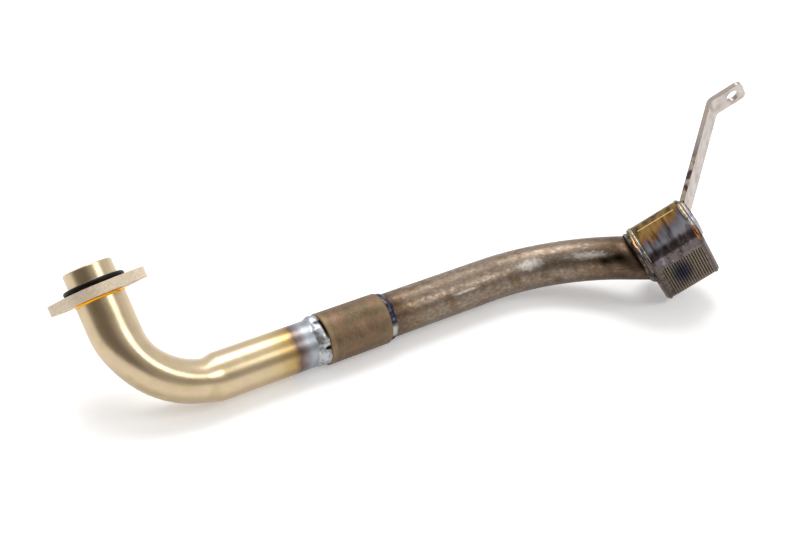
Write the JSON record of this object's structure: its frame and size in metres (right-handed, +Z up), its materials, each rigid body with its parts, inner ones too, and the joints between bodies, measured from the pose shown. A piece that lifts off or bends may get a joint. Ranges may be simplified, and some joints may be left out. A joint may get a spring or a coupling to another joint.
{
  "type": "oil pickup tube",
  "caption": "Oil pickup tube: flanged plated elbow with sealing ring, welded sleeve and bent steel extension to a screened inlet box with a strap bracket.",
  "frame": {"origin": "centre of the flange's two bolt holes, on the spigot axis at the flange's outer face", "axes": "+X along the straight run from the elbow to the inlet box, +Z up as the part lies at rest"},
  "size_m": [0.3674, 0.1126, 0.09],
  "materials": {
    "plated_steel": "satin",
    "flange_plate": "satin",
    "seal_rubber": "satin",
    "braze": "polished",
    "sleeve_steel": "satin",
    "bare_steel": "satin",
    "tinted_steel": "polished",
    "weld_metal": "satin",
    "screen_wire": "satin",
    "strap_steel": "satin"
  },
  "bodies": {
    "root": {"mounting_flange": "flange_plate", "elbow_neck": "plated_steel", "elbow_tube": "plated_steel", "spigot_o_ring": "seal_rubber", "flange_braze_ring": "braze", "coupling_sleeve": "sleeve_steel", "elbow_weld_bead": "weld_metal", "extension_tube": "bare_steel", "extension_weld_bead": "weld_metal", "box_shell": "tinted_steel", "tube_end_plate": "tinted_steel", "bracket_end_plate": "tinted_steel", "inlet_screen": "screen_wire", "tube_box_weld_bead": "weld_metal", "tube_end_seam_weld": "weld_metal", "bracket_end_seam_weld": "weld_metal", "support_bracket": "strap_steel", "bracket_weld_bead": "weld_metal"}
  },
  "joints": []
}
